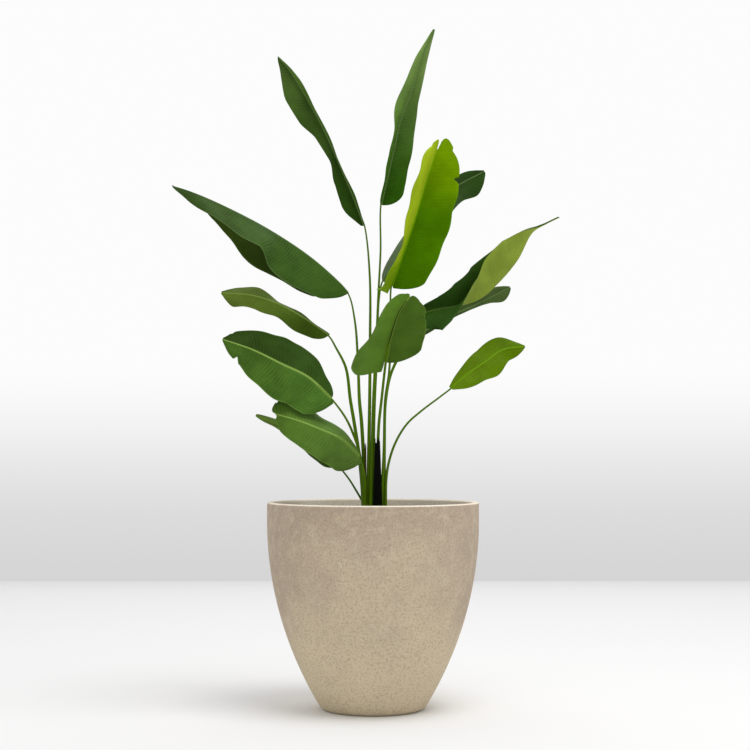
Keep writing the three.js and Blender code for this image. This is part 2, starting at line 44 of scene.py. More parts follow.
MM = 0.001
POT_HEIGHT = 484 * MM
RIM_RADIUS = 250 * MM
FOOT_RADIUS = 126 * MM
FOOT_ROUND = 20 * MM
FOOT_SLOPE = 36
WALL = 15 * MM
LIP_ROUND = 5 * MM
LIP_HIGHLIGHT = 2 * MM
FLOOR_TOP = 24 * MM
INNER_CORNER = 17 * MM
BELLY = [
    (FOOT_RADIUS, FOOT_ROUND * (1 - math.sin(math.radians(FOOT_SLOPE)))),
    (202 * MM, 132 * MM), (RIM_RADIUS, 284 * MM), (RIM_RADIUS, 440 * MM),
]
BELLY_STEPS = 28
POT_STEPS = 128
STAIN_SIZE = 120 * MM
BLOOM_SIZE = 25 * MM
SPECK_SIZE = 2.2 * MM
SPECK_RELIEF = 0.2 * MM


def paint(red, green, blue):
    """A colour from a paint chart, 0 to 255, as the linear light that Blender works in."""
    chart = [value / 255 for value in (red, green, blue)]
    return (*[value / 12.92 if value < 0.04 else ((value + 0.055) / 1.055) ** 2.4 for value in chart], 1)


def arc(middle, radius, start, end, steps=7):
    """Points of a rounded corner in a section, from one angle to another."""
    angles = np.radians(np.linspace(start, end, steps))
    return [(middle[0] + radius * math.cos(a), middle[1] + radius * math.sin(a)) for a in angles]


def turn_profile(name, section, steps):
    """A body turned about the upright axis from its section, point by point, as on a wheel."""
    bpy.ops.object.select_all(action="DESELECT")
    bpy.ops.mesh.primitive_plane_add(size=1)
    body = bpy.context.object
    body.name = body.data.name = name
    bpy.ops.object.mode_set(mode="EDIT")
    bpy.ops.mesh.merge(type="CENTER")
    bpy.ops.transform.translate(value=(section[0][0], 0, section[0][1]))
    for here, there in zip(section, section[1:]):
        step = (there[0] - here[0], 0, there[1] - here[1])
        bpy.ops.mesh.extrude_vertices_move(TRANSFORM_OT_translate={"value": step})
    bpy.ops.mesh.select_all(action="SELECT")
    bpy.ops.mesh.spin(steps=steps, angle=2 * math.pi, center=(0, 0, 0), axis=(0, 0, 1))
    bpy.ops.mesh.select_all(action="SELECT")
    bpy.ops.mesh.remove_doubles(threshold=0.00001)
    bpy.ops.mesh.normals_make_consistent(inside=False)
    bpy.ops.object.mode_set(mode="OBJECT")
    return body


def smooth(piece, angle=40):
    """Shades a piece smooth, and keeps the edges that are sharper than an angle."""
    bpy.ops.object.select_all(action="DESELECT")
    piece.select_set(True)
    bpy.context.view_layer.objects.active = piece
    bpy.ops.object.shade_smooth_by_angle(angle=math.radians(angle))


def belly_curve(steps):
    """The pot's outside as a smooth curve from the foot up to the shoulder."""
    a, b, c, d = [np.array(point) for point in BELLY]
    return [
        tuple(a * (1 - x) ** 3 + 3 * b * x * (1 - x) ** 2 + 3 * c * x * x * (1 - x) + d * x ** 3)
        for x in np.linspace(0, 1, steps + 1)
    ]


def inner_wall(inset):
    """The pot's inside from its floor to its shoulder, drawn in a little further for what fills it."""
    wall = [(x - WALL - inset, z) for x, z in belly_curve(BELLY_STEPS) if z > FLOOR_TOP + INNER_CORNER]
    return [(wall[0][0] - INNER_CORNER, FLOOR_TOP + inset), *wall]


def put(tree, kind, *sources, **settings):
    """Adds a shader node, sets its options, and joins or fills its inputs in their order."""
    node = tree.nodes.new("ShaderNode" + kind)
    for option, value in settings.items():
        setattr(node, option, value)
    for socket, source in zip(node.inputs, sources):
        if isinstance(source, bpy.types.NodeSocket):
            tree.links.new(source, socket)
        elif source is not None:
            socket.default_value = source
    return node.outputs[0]


def blend_colours(tree, share, first, second, how="MIX"):
    """Mixes two colours by a share between 0 and 1."""
    node = tree.nodes.new("ShaderNodeMix")
    node.data_type = "RGBA"
    node.blend_type = how
    for socket, source in zip((node.inputs[0], node.inputs[6], node.inputs[7]), (share, first, second)):
        if isinstance(source, bpy.types.NodeSocket):
            tree.links.new(source, socket)
        else:
            socket.default_value = source
    return node.outputs[2]


def cloud(tree, place, size, detail=3, roughness=0.5):
    """Soft noise between 0 and 1, with patches of about a size given in metres."""
    return put(tree, "TexNoise", place, None, 1 / size, detail, roughness)


def spread(tree, value, low, high, bottom=0, top=1):
    """Stretches a value's part between low and high to the range from bottom to top, with soft ends."""
    return put(tree, "MapRange", value, low, high, bottom, top, interpolation_type="SMOOTHSTEP")


def maths(tree, operation, *sources):
    """One step of arithmetic."""
    return put(tree, "Math", *sources, operation=operation)


def product(tree, first, *others):
    """All the given values multiplied together."""
    for other in others:
        first = maths(tree, "MULTIPLY", first, other)
    return first


def new_group(name, inputs, outputs):
    """An empty node group with named inputs, each with its value or colour, and named outputs."""
    group = bpy.data.node_groups.new(name, "ShaderNodeTree")
    for label, value in inputs.items():
        kind = "NodeSocketColor" if isinstance(value, tuple) else "NodeSocketFloat"
        group.interface.new_socket(name=label, in_out="INPUT", socket_type=kind).default_value = value
    for label, kind in outputs.items():
        group.interface.new_socket(name=label, in_out="OUTPUT", socket_type="NodeSocket" + kind)
    return group, group.nodes.new("NodeGroupInput").outputs, group.nodes.new("NodeGroupOutput").inputs


def use_group(tree, group, **values):
    """Places a node group in a material with its own values, and returns its outputs."""
    node = tree.nodes.new("ShaderNodeGroup")
    node.node_tree = group
    for label, value in values.items():
        node.inputs[label.replace("_", " ")].default_value = value
    return node.outputs


def new_material(name, specular, roughness=0.5):
    """A material with one Principled BSDF, its tree and that shader's inputs."""
    material = bpy.data.materials.new(name)
    material.use_nodes = True
    shader = material.node_tree.nodes["Principled BSDF"]
    shader.inputs["Roughness"].default_value = roughness
    shader.inputs["Specular IOR Level"].default_value = specular
    return material, material.node_tree, shader.inputs


def raise_surface(tree, height, normal):
    """Turns a height in metres into relief."""
    bump = tree.nodes.new("ShaderNodeBump")
    bump.inputs["Distance"].default_value = 1
    tree.links.new(height, bump.inputs["Height"])
    tree.links.new(bump.outputs[0], normal)


# Grain: a fine weave of light and dark specks with a shallow relief, as in cast clay and in soil.
grain, given, wanted = new_group(
    "Grain",
    {
        "Colour": (0.5, 0.4, 0.3, 1), "Light": (0.7, 0.6, 0.5, 1), "Dark": (0.3, 0.2, 0.2, 1),
        "Size": 0.002, "Share": 0.5, "Depth": 0.0001,
    },
    {"Colour": "Color", "Height": "Float"},
)
place = put(grain, "TexCoord").node.outputs["Object"]
density = maths(grain, "DIVIDE", 1, given["Size"])
fine = put(grain, "TexNoise", place, None, density, 3, 0.7)
coarse = put(grain, "TexNoise", place, None, product(grain, density, 0.45), 3, 0.7)
lit_share = product(grain, spread(grain, fine, 0.46, 0.7), given["Share"])
dark_share = product(grain, spread(grain, coarse, 0.54, 0.34), given["Share"])
lit = blend_colours(grain, lit_share, given["Colour"], given["Light"])
grain.links.new(blend_colours(grain, dark_share, lit, given["Dark"]), wanted["Colour"])
grain.links.new(product(grain, maths(grain, "ADD", fine, coarse), given["Depth"]), wanted["Height"])


def clay_material(name, low, high, collar, stain_and_shade, bloom, light, dark):
    """Cast clay that changes from foot to collar, partly by painted light and shade, with small pale blooms
    and with wide soft stains above, joined towards its two flanks by painted shade in the stain colour."""
    material, tree, shader = new_material(name, specular=0.15, roughness=0.9)
    place = put(tree, "TexCoord").node.outputs["Object"]
    sideways, _, height = put(tree, "SeparateXYZ", place).node.outputs
    # Lighter at the foot and darker at the collar: partly the clay's own tone, partly painted light and
    # shade.
    ground = blend_colours(tree, spread(tree, height, 0.06, 0.36), low, high)
    ground = blend_colours(tree, spread(tree, height, 0.36, 0.47), ground, collar)
    upper = spread(tree, height, 0.1, 0.34, 0.4, 1)
    # Painted shade: the stain colour closes in over the pot's two flanks.
    flank_shade = spread(tree, maths(tree, "ABSOLUTE", sideways), 0.13, 0.25, 0, 1)
    patches = spread(tree, cloud(tree, place, STAIN_SIZE), 0.36, 0.68, 0, 0.65)
    ground = blend_colours(tree, product(tree, maths(tree, "ADD", patches, flank_shade), upper), ground, stain_and_shade)
    blooms = spread(tree, cloud(tree, place, BLOOM_SIZE), 0.4, 0.76, 0, 0.5)
    ground = blend_colours(tree, blooms, ground, bloom)
    specks = use_group(
        tree, grain, Light=light, Dark=dark, Size=SPECK_SIZE, Share=0.55, Depth=SPECK_RELIEF)
    tree.links.new(ground, specks[0].node.inputs["Colour"])
    tree.links.new(specks["Colour"], shader["Base Color"])
    raise_surface(tree, specks["Height"], shader["Normal"])
    return material


# Outside it is yellower below and pinkish grey above: partly its own tone, partly painted light and shade.
# The lip has a painted highlight, and the inside is painted lighter against its shade.
clay = clay_material(
    "Fibre clay",
    low=paint(214, 199, 168), high=paint(204, 186, 160), collar=paint(182, 163, 143),
    stain_and_shade=paint(182, 164, 147), bloom=paint(216, 202, 174),
    light=paint(220, 206, 180), dark=paint(164, 146, 122))
lightened_clay = clay_material(
    "Clay painted lighter",
    low=paint(234, 220, 196), high=paint(246, 232, 208), collar=paint(252, 242, 226),
    stain_and_shade=paint(238, 224, 202), bloom=paint(250, 242, 228),
    light=paint(252, 246, 236), dark=paint(220, 206, 184))

foot = FOOT_RADIUS - FOOT_ROUND * math.cos(math.radians(FOOT_SLOPE))
lip = POT_HEIGHT - LIP_ROUND
pot = turn_profile("pot_cast", [
    (0, 0),
    *arc((foot, FOOT_ROUND), FOOT_ROUND, -90, -FOOT_SLOPE)[:-1],
    *belly_curve(BELLY_STEPS),
    *arc((RIM_RADIUS - LIP_ROUND, lip), LIP_ROUND, 0, 90),
    *arc((RIM_RADIUS - WALL + LIP_ROUND, lip), LIP_ROUND, 90, 180),
    *inner_wall(0)[::-1],
    (0, FLOOR_TOP),
], POT_STEPS)
smooth(pot)
pot.data.materials.append(clay)
pot.data.materials.append(lightened_clay)
# Painted light: the lighter clay makes a highlight along the lip and lifts the inside wall out of its
# shade.
for face in pot.data.polygons:
    inward = face.normal.x * face.center.x + face.normal.y * face.center.y < 0
    if face.center.z > POT_HEIGHT - LIP_HIGHLIGHT or (inward and face.center.z > FLOOR_TOP):
        face.material_index = 1
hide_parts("pot")
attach(pot, "root")


# The soil: dark potting soil up to 54 mm below the rim, level but loose, with crumbs and small clods.
# It is turned to fill the pot, its top is then made uneven, and the crumbs are scattered over it.

SOIL_TOP = 430 * MM
SOIL_GAP = 0.6 * MM
SOIL_RADIUS = RIM_RADIUS - WALL - 1.2 * MM
SOIL_SIDE_END = SOIL_TOP - 12 * MM
SOIL_ROUGHNESS = 3.5 * MM
SOIL_BED = SOIL_TOP - SOIL_ROUGHNESS
SOIL_STEPS = 96
SOIL_RINGS = 44
LUMPS_PER_METRE = 38
CLODS_PER_METRE = 120
CLOD_SHARE = 0.6
HIGHEST_LUMP = 0.95
CRUMBS = 420
CRUMB_SIZES = (1.6 * MM, 5.2 * MM)
CRUMB_MARGIN = 6 * MM
CRUMB_SINK = 0.2
CRUMB_UNEVENNESS = 0.35
CRUMB_BUMPS_PER_METRE = 400
CRUMBS_APART = 50
CROWN_RADIUS = 46 * MM
MIDDLE_SHARE = 0.02

soil = turn_profile("soil_filling", [
    (0, FLOOR_TOP + SOIL_GAP),
    *[point for point in inner_wall(SOIL_GAP) if point[1] < SOIL_SIDE_END],
    *[(radius, SOIL_BED) for radius in np.linspace(SOIL_RADIUS, 0, SOIL_RINGS)],
], SOIL_STEPS)
for vertex in soil.data.vertices:
    reach = math.hypot(vertex.co.x, vertex.co.y)
    if vertex.co.z > SOIL_TOP - 2 * SOIL_ROUGHNESS and reach < SOIL_RADIUS - 1 * MM:
        lumps = noise.noise(vertex.co * LUMPS_PER_METRE)
        lumps += CLOD_SHARE * noise.noise(vertex.co * CLODS_PER_METRE)
        vertex.co.z += SOIL_ROUGHNESS * min(max(lumps, -1), HIGHEST_LUMP)

rolls = np.random.default_rng(7)
crumbs = []
for _ in range(CRUMBS):
    reach = (SOIL_RADIUS - CRUMB_MARGIN) * math.sqrt(rolls.uniform(MIDDLE_SHARE, 1))
    angle = rolls.uniform(0, 2 * math.pi)
    size = rolls.uniform(*CRUMB_SIZES) if reach > CROWN_RADIUS else CRUMB_SIZES[0]
    spot = Vector((reach * math.cos(angle), reach * math.sin(angle), SOIL_BED - size * CRUMB_SINK))
    bpy.ops.object.select_all(action="DESELECT")
    bpy.ops.mesh.primitive_ico_sphere_add(subdivisions=1, radius=size)
    crumb = bpy.context.object
    for vertex in crumb.data.vertices:
        bumps = noise.noise(vertex.co * CRUMB_BUMPS_PER_METRE + spot * CRUMBS_APART)
        stretch = 1 + CRUMB_UNEVENNESS * bumps
        vertex.co = vertex.co * stretch + spot
        vertex.co.z = min(vertex.co.z, SOIL_TOP - 0.1 * MM)
    crumbs.append(crumb)
bpy.ops.object.select_all(action="DESELECT")
for piece in [*crumbs, soil]:
    piece.select_set(True)
bpy.context.view_layer.objects.active = soil
bpy.ops.object.join()

earth, tree, shader = new_material("Potting soil", specular=0.2, roughness=0.95)
specks = use_group(
    tree, grain, Colour=paint(58, 44, 33), Light=paint(104, 84, 64), Dark=paint(24, 18, 14),
    Size=3.5 * MM, Share=0.9, Depth=1.2 * MM)
tree.links.new(specks["Colour"], shader["Base Color"])
raise_surface(tree, specks["Height"], shader["Normal"])
soil.data.materials.append(earth)
smooth(soil, 55)
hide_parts("soil")
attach(soil, "root")


# The high left leaf: a narrow dark blade folded along its midrib, pinched at its waist, turned on edge.
# Every leaf is laid as a fine sheet over its midrib's line, given its thickness and put on its stalk.

BLADE = 0.8 * MM
RIB_MARGIN = 0.6 * MM
RIB_SHARE = 0.1
LEAST_WIDTH = 0.6 * MM
BASE_WIDTH = 3 * MM
MIDRIB_END_RADIUS = 0.7 * MM
MIDRIB_REACH = 0.93
BASE_ROUND = 0.08
VEIN_SWEEP = 0.18
RIPPLE_START = 0.2
RIPPLE_SHIFT = 2
NOTCH_START = 0.75
NOTCH_OPEN = 0.5
NOTCH_CURVE = 2.6
LOBE_END = 0.3
CRINKLE = 2 * MM
CRINKLES_ALONG = 26
CRINKLES_ACROSS = 1.5
HALVES_APART = 7
LEAVES_APART = 90
BOW = 0.04
CHANNEL_DEPTH = 0.45
MIDRIB_SINK = 0.8
GROOVE_DEPTH = 0.24
GROOVE_WIDTH = 0.5
ROOT_DEPTH = 30 * MM
VEIN_PITCH = 7.5 * MM
VEIN_LEAN = 18 * MM
THREADS_PER_METRE = 330
FIELDS_PER_METRE = 26
MOTTLE_SIZE = 60 * MM
ROW_PITCH = 2.6 * MM
EVEN_ROWS = 0.55
HALF_COLUMNS = 15
STRIP_COLUMNS = 5
MIDRIB_ROWS = 70
JOIN_ROW = 8
STALK_STRIDE = 3
RING_POINTS = 18
CURVE_STEPS = 24
FRONT = np.array([0.0, -1.0, 0.0])


def between(values, shares):
    """The value at each share of the way along evenly spaced values, smoothly and with no overshoot."""
    values = np.asarray(values, float)
    rises = np.diff(values)
    before, after = rises[:-1], rises[1:]
    steady = before * after > 0
    inner = np.where(steady, 2 * before * after / np.where(steady, before + after, 1), 0)
    slopes = np.concatenate([rises[:1], inner, rises[-1:]])
    place = np.clip(shares, 0, 1) * len(rises)
    i = np.minimum(place.astype(int), len(rises) - 1)
    x = place - i
    rise, start, end = rises[i], slopes[i], slopes[i + 1]
    return values[i] + x * (start + x * (3 * rise - 2 * start - end + x * (start + end - 2 * rise)))


def round_off(shares):
    """A quarter circle's rise from 0 to 1."""
    return np.sqrt(1 - (1 - np.clip(shares, 0, 1)) ** 2)


def unit(vectors):
    """The same directions, one long."""
    return vectors / np.linalg.norm(vectors, axis=-1, keepdims=True)


def line_through(points):
    """A smooth line through points, as many short steps."""
    p = np.asarray(points, float)
    p = np.vstack([2 * p[0] - p[1], p, 2 * p[-1] - p[-2]])
    x = np.linspace(0, 1, CURVE_STEPS, endpoint=False)[:, None]
    line = []
    for a, b, c, d in zip(p, p[1:], p[2:], p[3:]):
        ab, bc, cd = [math.sqrt(np.linalg.norm(v)) for v in (b - a, c - b, d - c)]
        leave = bc * ((b - a) / ab - (c - a) / (ab + bc) + (c - b) / bc)
        arrive = bc * ((c - b) / bc - (d - b) / (bc + cd) + (d - c) / cd)
        bend = 3 * (c - b) - 2 * leave - arrive
        line.append(b + x * (leave + x * (bend + x * (leave + arrive - 2 * (c - b)))))
    return np.vstack([*line, p[-2]])


def rib_frames(rib, turn, shares):
    """The midrib's centre, direction, upper and right side at shares of its length, and that length."""
    line = line_through(np.array(rib) * MM)
    run = np.concatenate([[0], np.cumsum(np.linalg.norm(np.diff(line, axis=0), axis=1))])
    heading = unit(np.gradient(line, axis=0))
    centre = np.stack([np.interp(shares * run[-1], run, line[:, k]) for k in range(3)], -1)
    forward = unit(np.stack([np.interp(shares * run[-1], run, heading[:, k]) for k in range(3)], -1))
    facing = unit(FRONT - forward * (forward @ FRONT)[:, None])
    angle = np.radians(between(turn, shares))[:, None]
    normal = facing * np.cos(angle) + np.cross(forward, facing) * np.sin(angle)
    return centre, forward, normal, np.cross(forward, normal), run[-1]


def lay_sheet(name, points, across, along):
    """A grid of faces laid on rows of points, with each point's place across and along as its UV map."""
    rows, columns = points.shape[:2]
    bpy.ops.object.select_all(action="DESELECT")
    bpy.ops.mesh.primitive_grid_add(x_subdivisions=columns - 1, y_subdivisions=rows - 1, size=1)
    sheet = bpy.context.object
    sheet.name = sheet.data.name = name
    sheet.data.vertices.foreach_set("co", points.reshape(-1))
    corners = np.zeros(len(sheet.data.loops), int)
    sheet.data.loops.foreach_get("vertex_index", corners)
    places = np.stack([across.reshape(-1), along.reshape(-1)], -1)
    sheet.data.uv_layers.active.data.foreach_set("uv", places[corners].reshape(-1))
    sheet.data.update()
    return sheet


def thicken(sheet, thickness, under=0):
    """Gives a sheet its thickness, with the underside's own material where it has one."""
    solid = sheet.modifiers.new("Thickness", "SOLIDIFY")
    solid.thickness = thickness
    solid.offset = 0
    solid.material_offset = under
    bpy.context.view_layer.objects.active = sheet
    bpy.ops.object.modifier_apply(modifier=solid.name)


def rib_radius(thick, shares):
    """The midrib's radius, from the stalk's end to its own thin end."""
    return thick[2] * MM + (MIDRIB_END_RADIUS - thick[2] * MM) * np.minimum(shares / MIDRIB_REACH, 1)


def blade_points(leaf, side, shares, out):
    """The blade's middle surface, from the midrib out to one margin: shares along it by shares out."""
    centre, forward, normal, right, length = rib_frames(leaf["rib"], leaf["turn"], shares)
    half = 1 if side == "right" else 0
    sign = 1 if side == "right" else -1
    torn = np.ones_like(shares)
    for where, at, depth, reach in leaf["tears"]:
        if where == side:
            torn *= 1 - depth * np.maximum(0, 1 - np.abs(shares - at) / reach)
    start = round_off(shares / leaf["round"][half])
    end = np.maximum(round_off((1 - shares) / leaf["blunt"]), NOTCH_OPEN if any(leaf["notch"]) else 0)
    full = LEAST_WIDTH + BASE_WIDTH * (1 - start) + between(leaf[side], shares) * MM * torn * start * end
    s, t = shares[:, None], out[None, :]
    width = full[:, None] * t
    angle = np.radians(between(leaf["fold"][half], s) + between(leaf["curl"][half], s) * t / 2)
    phase = 2 * np.pi * leaf["wave"][1] * s + half * RIPPLE_SHIFT
    ripple = leaf["wave"][0] * MM * t ** 2 * np.sin(phase) * round_off(s / RIPPLE_START)
    own_place = sign * HALVES_APART + length * LEAVES_APART
    waver = np.array([
        [noise.noise(Vector((a * length * CRINKLES_ALONG, b * CRINKLES_ACROSS, own_place))) for b in out]
        for a in shares
    ])
    ripple = ripple + CRINKLE * waver * t ** 1.5 + BOW * width * np.sin(np.pi * t)
    notch = leaf["notch"][half] * MM * np.sin(NOTCH_CURVE * np.sqrt(t))
    lobe = leaf["lobe"][half] * MM * np.sqrt(t)
    reach = notch * np.maximum(0, (s - NOTCH_START) / (1 - NOTCH_START)) ** 1.5
    reach = reach - lobe * np.maximum(0, 1 - s / LOBE_END) ** 1.5
    strip = rib_radius(leaf["thick"], shares)[:, None] + RIB_MARGIN
    drop = between(leaf["sag"][half], s) * MM * t ** 2 * np.minimum(s / BASE_ROUND, 1)
    return (
        centre[:, None]
        + right[:, None] * (sign * (strip + width * np.cos(angle)))[..., None]
        + normal[:, None] * (width * np.sin(angle) + ripple)[..., None]
        + forward[:, None] * (VEIN_SWEEP * width * t * (1 - s) + reach)[..., None]
        - np.array([0, 0, 1]) * drop[..., None]
    )


def make_blade(name, leaf, upper, under):
    """One leaf blade: both halves and the shallow channel over the midrib between them."""
    length = rib_frames(leaf["rib"], leaf["turn"], np.array([0.0]))[4]
    rows = int(length / ROW_PITCH)
    shares = (1 - np.cos(np.linspace(0, np.pi, rows))) / 2
    shares = (1 - EVEN_ROWS) * shares + EVEN_ROWS * np.linspace(0, 1, rows)
    out = np.linspace(0, 1, HALF_COLUMNS)
    left = blade_points(leaf, "left", shares, out[::-1])
    right = blade_points(leaf, "right", shares, out)
    normal = rib_frames(leaf["rib"], leaf["turn"], shares)[2]
    middle = np.linspace(0, 1, STRIP_COLUMNS + 2)[1:-1]
    radius = rib_radius(leaf["thick"], shares)[:, None, None]
    channel = radius * CHANNEL_DEPTH * np.sin(np.pi * middle)[None, :, None]
    seat = left[:, -1:] + (right[:, :1] - left[:, -1:]) * middle[None, :, None]
    strip = seat - normal[:, None] * channel
    points = np.concatenate([left, strip, right], 1)
    across = np.concatenate([
        (0.5 - RIB_SHARE / 2) * (1 - out[::-1]),
        0.5 + RIB_SHARE * (middle - 0.5),
        1 - (0.5 - RIB_SHARE / 2) * (1 - out),
    ])
    across, along = np.broadcast_arrays(across[None, :], (shares * length)[:, None])
    blade = lay_sheet(name + "_leaf", points, across, along)
    blade.data.materials.append(upper)
    blade.data.materials.append(under)
    thicken(blade, BLADE, under=1)
    smooth(blade, 60)
    return blade


def make_stalk(name, leaf, skin):
    """One stalk, round with a groove along its upper side, running on under the blade as its midrib."""
    shares = np.linspace(0, MIDRIB_REACH, MIDRIB_ROWS)
    centre, _, normal, right, _ = rib_frames(leaf["rib"], leaf["turn"], shares)
    radius = rib_radius(leaf["thick"], shares)
    midrib = centre - normal * (BLADE / 2 + radius * MIDRIB_SINK)[:, None]
    line = line_through([*(np.array(leaf["stalk"]) * MM), midrib[0], midrib[JOIN_ROW]])
    line = line[: len(leaf["stalk"]) * CURVE_STEPS : STALK_STRIDE]
    root = line[0] - unit(line[1] - line[0]) * ROOT_DEPTH
    heading = unit(np.vstack([line[1] - line[0], line[2:] - line[:-2], midrib[0] - line[-1]]))
    tops = [normal[0]]
    for direction in heading[::-1]:
        tops.insert(0, unit(tops[0] - direction * (tops[0] @ direction)))
    centres = np.vstack([root, line, midrib])
    tops = np.vstack([tops[0], tops[:-1], normal])
    sides = np.vstack([np.cross(heading[:1], tops[:1]), np.cross(heading, tops[1:len(line) + 1]), right])
    thick = between(leaf["thick"], np.linspace(0, 1, len(line))) * MM
    radii = np.concatenate([thick[:1], thick, radius])
    angles = np.linspace(-np.pi, np.pi, RING_POINTS + 1)
    shape = 1 - GROOVE_DEPTH * np.exp(-((angles / GROOVE_WIDTH) ** 2))
    ring = radii[:, None] * shape[None, :]
    points = (
        centres[:, None]
        + tops[:, None] * (ring * np.cos(angles))[..., None]
        + sides[:, None] * (ring * np.sin(angles))[..., None]
    )
    run = np.concatenate([[0], np.cumsum(np.linalg.norm(np.diff(centres, axis=0), axis=1))])
    across, along = np.broadcast_arrays(np.linspace(0, 1, RING_POINTS + 1)[None, :], run[:, None])
    stalk = lay_sheet(name + "_stem", points, across, along)
    bpy.ops.object.mode_set(mode="EDIT")
    bpy.ops.mesh.select_all(action="SELECT")
    bpy.ops.mesh.remove_doubles(threshold=0.00001)
    bpy.ops.mesh.select_all(action="DESELECT")
    bpy.ops.mesh.select_non_manifold()
    bpy.ops.mesh.edge_face_add()
    bpy.ops.object.mode_set(mode="OBJECT")
    stalk.data.materials.append(skin)
    smooth(stalk, 60)
    return stalk


# Leaf skin: a pale rib and a thin light margin, and between them soft mottling and fine creases along
# the veins, which leave the rib squarely and lean towards the tip. The creases and fine threads are raised,
# and darkened with painted shade. The colour changes from base to tip. One half may be darkened with
# painted shade, the right one above zero and the left one below, and the other may have a painted colour
# of its own, for light shining through it.
leaf_skin, given, wanted = new_group(
    "Leaf skin",
    {
        "Base": (0.1, 0.2, 0.05, 1), "Tip": (0.1, 0.2, 0.05, 1), "Rib": (0.3, 0.5, 0.1, 1),
        "Length": 0.4, "Change from": 0.05, "Darker half": 0.0,
        "Lit half": (0.5, 0.6, 0.1, 1), "Lit share": 0.0, "Creases": 0.3, "Relief": 0.0003,
    },
    {"Colour": "Color", "Roughness": "Float", "Height": "Float"},
)
coordinates = put(leaf_skin, "TexCoord").node.outputs
across, along = put(leaf_skin, "SeparateXYZ", coordinates["UV"]).node.outputs[:2]
side = maths(leaf_skin, "SUBTRACT", across, 0.5)
out = product(leaf_skin, maths(leaf_skin, "ABSOLUTE", side), 2)
swept = maths(leaf_skin, "SUBTRACT", along, product(leaf_skin, out, out, VEIN_LEAN))
warp = cloud(leaf_skin, coordinates["Object"], MOTTLE_SIZE, 2)
vein_place = maths(leaf_skin, "ADD", maths(leaf_skin, "DIVIDE", swept, VEIN_PITCH), warp)
vein = maths(leaf_skin, "SINE", product(leaf_skin, vein_place, 2 * math.pi))
threads = put(
    leaf_skin, "CombineXYZ", product(leaf_skin, across, 3), product(leaf_skin, swept, THREADS_PER_METRE))
thread = put(leaf_skin, "TexNoise", threads, None, 1, 2, 0.6)
fields = put(
    leaf_skin, "CombineXYZ", product(leaf_skin, across, 6), product(leaf_skin, swept, FIELDS_PER_METRE))
field = put(leaf_skin, "TexNoise", fields, None, 1, 2, 0.5)
mottle = cloud(leaf_skin, coordinates["Object"], MOTTLE_SIZE, 3)
on_half = spread(leaf_skin, out, RIB_SHARE * 0.8, RIB_SHARE * 1.25)
# Painted shade: the veins' creases and the fine threads are darkened, besides their raised relief.
shaded_fields = spread(leaf_skin, field, 0.4, 0.62, 0.15, 1)
vein_shade = product(leaf_skin, spread(leaf_skin, vein, -0.4, 1), shaded_fields)
thread_shade = spread(leaf_skin, thread, 0.4, 0.7, 0, 0.5)
crease_shade = product(leaf_skin, maths(leaf_skin, "ADD", vein_shade, thread_shade), given["Creases"])
# Painted shade on one half, and on the other a painted colour for light shining through it.
turned = product(leaf_skin, maths(leaf_skin, "SIGN", side), given["Darker half"])
half_shade = maths(leaf_skin, "MAXIMUM", turned, 0)
shade = product(
    leaf_skin, maths(leaf_skin, "SUBTRACT", 1, crease_shade), maths(leaf_skin, "SUBTRACT", 1, half_shade),
    spread(leaf_skin, mottle, 0.36, 0.68, 1.06, 0.86))
share = maths(leaf_skin, "DIVIDE", along, given["Length"])
change = spread(leaf_skin, share, given["Change from"], 0.95)
tone = blend_colours(leaf_skin, change, given["Base"], given["Tip"])
other_half = maths(leaf_skin, "LESS_THAN", product(leaf_skin, side, given["Darker half"]), 0)
lit = product(leaf_skin, other_half, given["Lit share"], spread(leaf_skin, share, 0.1, 0.22, 0.5, 1))
tone = blend_colours(leaf_skin, lit, tone, given["Lit half"])
tone = blend_colours(leaf_skin, 1, tone, shade, how="MULTIPLY")
margin = spread(leaf_skin, out, 0.965, 0.995, 0, 0.45)
tone = blend_colours(leaf_skin, margin, tone, given["Rib"])
relief = maths(leaf_skin, "SUBTRACT", thread, vein)
leaf_skin.links.new(blend_colours(leaf_skin, on_half, given["Rib"], tone), wanted["Colour"])
leaf_skin.links.new(spread(leaf_skin, mottle, 0.3, 0.7, 0.4, 0.55), wanted["Roughness"])
leaf_skin.links.new(product(leaf_skin, relief, given["Relief"], on_half), wanted["Height"])


def leaf_material(
    name, length, base, tip, rib, crease_shading, change_from=0.05, darker_half=0.0, lit_half=None,
    relief=0.06 * MM, gloss=0.05,
):
    """The skin of one side of a leaf."""
    material, tree, shader = new_material(name, specular=gloss)
    skin = use_group(
        tree, leaf_skin, Base=base, Tip=tip, Rib=rib, Length=length, Change_from=change_from,
        Darker_half=darker_half, Lit_half=lit_half or base, Lit_share=1 if lit_half else 0,
        Creases=crease_shading, Relief=relief)
    tree.links.new(skin["Colour"], shader["Base Color"])
    tree.links.new(skin["Roughness"], shader["Roughness"])
    raise_surface(tree, skin["Height"], shader["Normal"])
    return material


# Fibres: long fine streaks that follow a stalk or a dry sheath.
fibres, given, wanted = new_group(
    "Fibres",
    {
        "Colour": (0.1, 0.2, 0.05, 1), "Streak": (0.3, 0.5, 0.1, 1), "Far colour": (0.1, 0.2, 0.05, 1),
        "Far from": 8.0, "Far to": 9.0, "Count": 9.0, "Share": 0.5, "Depth": 0.0002,
    },
    {"Colour": "Color", "Roughness": "Float", "Height": "Float"},
)
coordinates = put(fibres, "TexCoord").node.outputs
across, along = put(fibres, "SeparateXYZ", coordinates["UV"]).node.outputs[:2]
strands = put(fibres, "CombineXYZ", product(fibres, across, given["Count"]), product(fibres, along, 5))
streak = put(fibres, "TexNoise", strands, None, 1, 4, 0.65)
patch = put(fibres, "TexNoise", strands, None, 0.4, 2, 0.5)
share = product(fibres, spread(fibres, streak, 0.42, 0.68), given["Share"])
tone = blend_colours(fibres, share, given["Colour"], given["Streak"])
far = spread(fibres, along, given["Far from"], given["Far to"])
